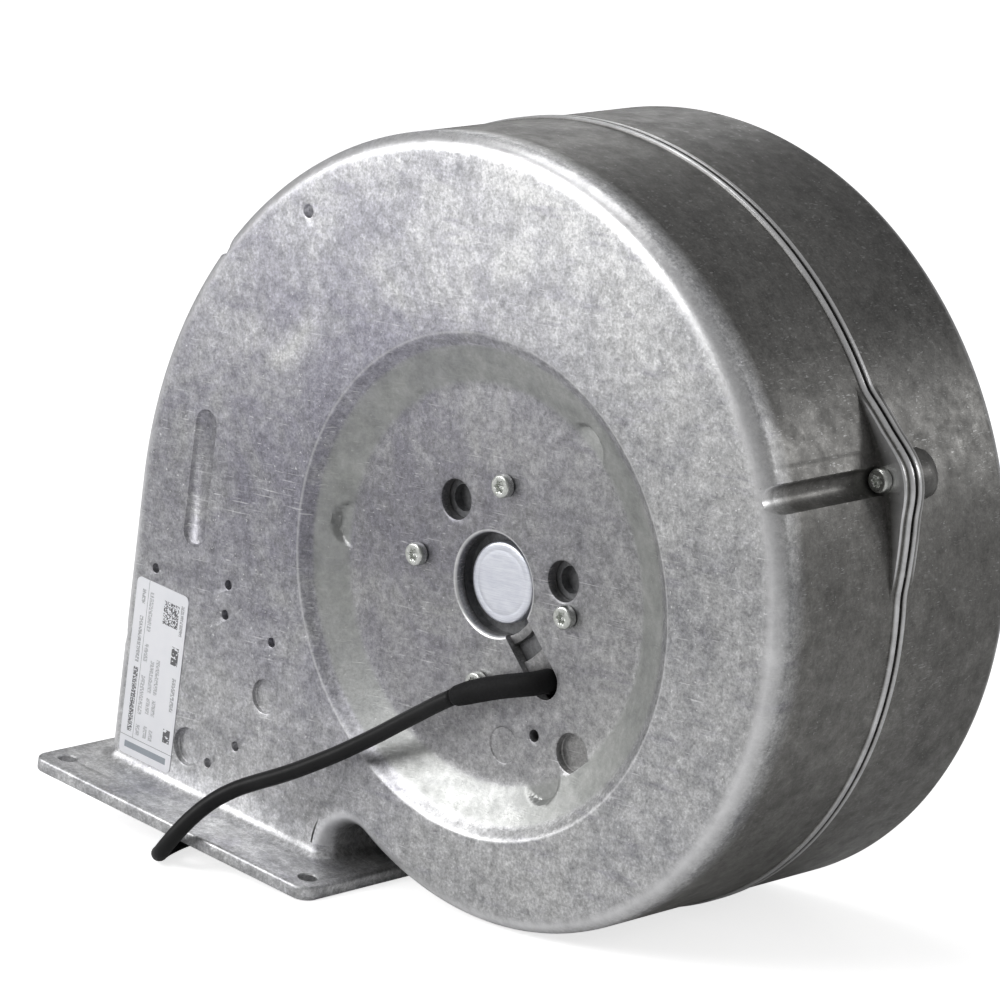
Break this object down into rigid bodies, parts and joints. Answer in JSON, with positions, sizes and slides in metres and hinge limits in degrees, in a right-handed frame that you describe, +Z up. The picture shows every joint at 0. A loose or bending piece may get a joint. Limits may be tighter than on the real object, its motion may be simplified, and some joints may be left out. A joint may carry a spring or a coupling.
{
  "type": "combustion fan",
  "caption": "Combustion fan: die-cast scroll housing in two halves with a flanged outlet, drum impeller on an external-rotor motor, and the motor's cable.",
  "frame": {"origin": "Centre of the machine's box in X and Y, at the floor it stands on; the fan axis crosses x = 25.9 mm, z = 102.2 mm.", "axes": "+Y along the fan axis from the motor side to the inlet side, +X to the right seen from the motor side, +Z up. The machine leans 7.9 degrees on its scroll and the flange's edge, as in the picture."},
  "size_m": [0.291, 0.2229, 0.2351],
  "materials": {
    "cast_aluminium": "matt die-cast skin",
    "bright_steel": "fine brushed",
    "zinc_steel": "zinc plated, satin",
    "lamination_steel": "punched sheet, matt",
    "copper_wire": "enamelled copper, satin",
    "magnet": "matt ferrite",
    "gasket": "matt",
    "sleeve_rubber": "matt",
    "cable_sheath": "satin",
    "circuit_board": "solder mask, semi-gloss",
    "chip_black": "matt",
    "label_film": "semi-gloss printed film",
    "plug_plastic": "matt"
  },
  "bodies": {
    "housing": {"motor_side_housing": "cast_aluminium", "inlet_side_housing": "cast_aluminium", "motor_plate": "cast_aluminium", "housing_gasket": "gasket", "motor_screw_1": "zinc_steel", "motor_screw_2": "zinc_steel", "motor_screw_3": "zinc_steel", "motor_screw_4": "zinc_steel", "housing_screw_1": "zinc_steel", "housing_screw_2": "zinc_steel", "housing_screw_3": "zinc_steel", "housing_screw_4": "zinc_steel", "nozzle_screw_1": "zinc_steel", "nozzle_screw_2": "zinc_steel", "nozzle_screw_3": "zinc_steel", "nozzle_screw_4": "zinc_steel", "inlet_nozzle": "bright_steel", "motor_end_cap": "bright_steel", "front_bearing": "bright_steel", "rear_bearing": "bright_steel", "preload_washer": "bright_steel", "stator_core": "lamination_steel", "stator_winding_1": "copper_wire", "stator_winding_2": "copper_wire", "stator_winding_3": "copper_wire", "stator_winding_4": "copper_wire", "stator_winding_5": "copper_wire", "stator_winding_6": "copper_wire", "stator_winding_7": "copper_wire", "stator_winding_8": "copper_wire", "stator_winding_9": "copper_wire", "control_board": "circuit_board", "driver_chip": "chip_black", "power_switch_1": "chip_black", "power_switch_2": "chip_black", "power_switch_3": "chip_black", "hall_sensor_1": "chip_black", "hall_sensor_2": "chip_black", "hall_sensor_3": "chip_black", "rating_label": "label_film", "cable_sleeve": "sleeve_rubber", "motor_cable": "cable_sheath", "cable_coil": "cable_sheath", "cable_tail": "cable_sheath", "cable_plug": "plug_plastic"},
    "rotor": {"magnet_ring": "magnet", "rotor_cup": "bright_steel", "motor_shaft": "bright_steel", "shaft_clip": "bright_steel", "impeller_hub_disc": "zinc_steel", "impeller_blade_drum": "zinc_steel", "impeller_rivet_1": "bright_steel", "impeller_rivet_2": "bright_steel", "impeller_rivet_3": "bright_steel", "impeller_rivet_4": "bright_steel"}
  },
  "joints": [
    {"name": "impeller_spin", "type": "hinge", "parent": "housing", "child": "rotor", "pos_m": [0.02585, 0, 0.10215], "axis": [0, 1, 0], "continuous": true}
  ]
}
